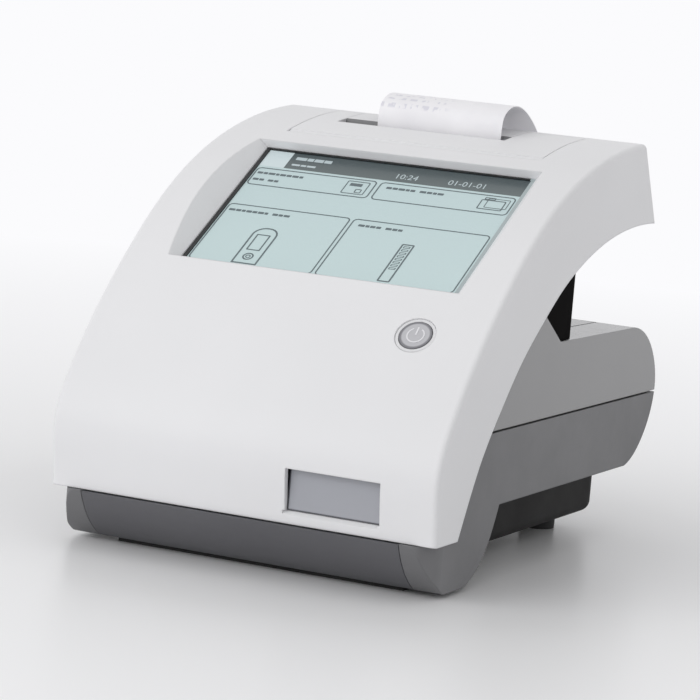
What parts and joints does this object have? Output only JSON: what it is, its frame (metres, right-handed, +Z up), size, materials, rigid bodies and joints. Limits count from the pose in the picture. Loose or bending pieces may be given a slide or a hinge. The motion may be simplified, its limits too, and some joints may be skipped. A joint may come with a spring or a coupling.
{
  "type": "urine analyzer",
  "caption": "Desk-top urine strip analyzer: arched white hood with touch display, power button and window, grey base, sliding test table, printer under a hinged cover.",
  "frame": {"origin": "on the floor under the centre of the bounding box", "axes": "+X to the right as seen from the front, +Y towards the rear, +Z up; the test table slides out towards -Y"},
  "size_m": [0.1758, 0.2431, 0.1897],
  "materials": {
    "hood_white": "satin white moulding",
    "cover_white": "satin white moulding",
    "base_grey": "fine-textured mid grey moulding",
    "base_dark_grey": "fine-textured dark grey moulding",
    "neck_black": "black moulding",
    "screen_glass": "clear touch panel",
    "lcd": "pale blue-green liquid crystal panel",
    "black_trim": "black",
    "window_grey": "smoked grey window",
    "button_grey": "satin grey",
    "rubber": "black rubber",
    "steel": "plain",
    "circuit": "green solder mask",
    "chips": "moulded packages",
    "insert_white": "white moulding",
    "reference_white": "matt white reference",
    "lens": "clear",
    "gear_white": "natural acetal",
    "paper": "thermal paper",
    "card": "wound card",
    "cells": "plain jacket"
  },
  "bodies": {
    "frame": {"hood_shell": "hood_white", "hood_underside": "hood_white", "hood_screws": "steel", "neck": "neck_black", "paper_exit_bezel": "cover_white", "tear_bar": "steel", "base_upper": "base_grey", "base_lower": "base_dark_grey", "base_screws": "steel", "bottom_pan": "black_trim", "front_foot": "rubber", "rear_feet": "rubber", "display_gasket": "black_trim", "touch_glass": "screen_glass", "lcd_panel": "lcd", "lcd_backlight": "steel", "board_standoffs": "steel", "display_board": "circuit", "front_window": "window_grey", "button_ring": "button_grey", "tact_switch": "chips", "button_board": "circuit", "drive_motor": "steel", "table_channel": "black_trim", "reader_housing": "black_trim", "reader_lens": "lens", "led_ring_board": "circuit", "sensor_board": "circuit", "main_board": "circuit", "board_components": "chips", "board_screws": "steel", "port_panel": "black_trim", "rear_board": "circuit", "power_inlet": "chips", "serial_socket": "steel", "network_socket": "steel", "battery_tray": "black_trim", "battery_cells": "cells", "battery_contacts": "steel", "printer_frame": "black_trim", "feed_motor": "steel", "thermal_head": "steel", "paper_strip": "paper"},
    "table": {"table_front": "base_dark_grey", "table_tray": "insert_white", "strip_insert": "insert_white", "calibration_bar": "reference_white", "table_rack": "gear_white"},
    "pinion": {"drive_pinion": "gear_white"},
    "cover": {"printer_cover": "cover_white", "cover_hinge_pins": "steel"},
    "lid": {"battery_lid": "base_grey", "lid_hinge_pins": "steel"},
    "button": {"power_button": "button_grey"},
    "platen": {"platen_shaft": "steel", "platen_roller": "rubber"},
    "feed": {"feed_pinion": "gear_white"},
    "roll": {"paper_roll": "paper", "roll_core": "card", "roll_spindle": "gear_white"}
  },
  "joints": [
    {"name": "table_slide", "type": "slide", "parent": "frame", "child": "table", "axis": [0, -1, 0], "range_m": [0, 0.085]},
    {"name": "pinion_turn", "type": "hinge", "parent": "frame", "child": "pinion", "pos_m": [0.0416, -0.0869, 0.02], "axis": [0, 0, 1], "range_deg": [0, 680]},
    {"name": "cover_hinge", "type": "hinge", "parent": "frame", "child": "cover", "pos_m": [0, 0.02243, 0.16825], "axis": [1, 0, 0], "range_deg": [0, 85]},
    {"name": "lid_hinge", "type": "hinge", "parent": "frame", "child": "lid", "pos_m": [0, 0.0885, 0.09326], "axis": [-1, 0, 0], "range_deg": [0, 85]},
    {"name": "power_press", "type": "slide", "parent": "frame", "child": "button", "axis": [0, 0.7053, -0.7089], "range_m": [0, 0.0012], "stiffness_N_per_m": 600, "springref_m": -0.0004},
    {"name": "platen_turn", "type": "hinge", "parent": "frame", "child": "platen", "pos_m": [0, 0.0526, 0.16], "axis": [1, 0, 0], "continuous": true},
    {"name": "feed_turn", "type": "hinge", "parent": "frame", "child": "feed", "pos_m": [0.04, 0.0421, 0.16], "axis": [1, 0, 0], "continuous": true},
    {"name": "roll_turn", "type": "hinge", "parent": "frame", "child": "roll", "pos_m": [0, 0.034, 0.1524], "axis": [1, 0, 0], "continuous": true}
  ],
  "couplings": [
    {"joint": "pinion_turn", "follows": "table_slide", "rad_per_m": 138.89},
    {"joint": "feed_turn", "follows": "platen_turn", "ratio": -2},
    {"joint": "roll_turn", "follows": "platen_turn", "ratio": -0.5319}
  ]
}
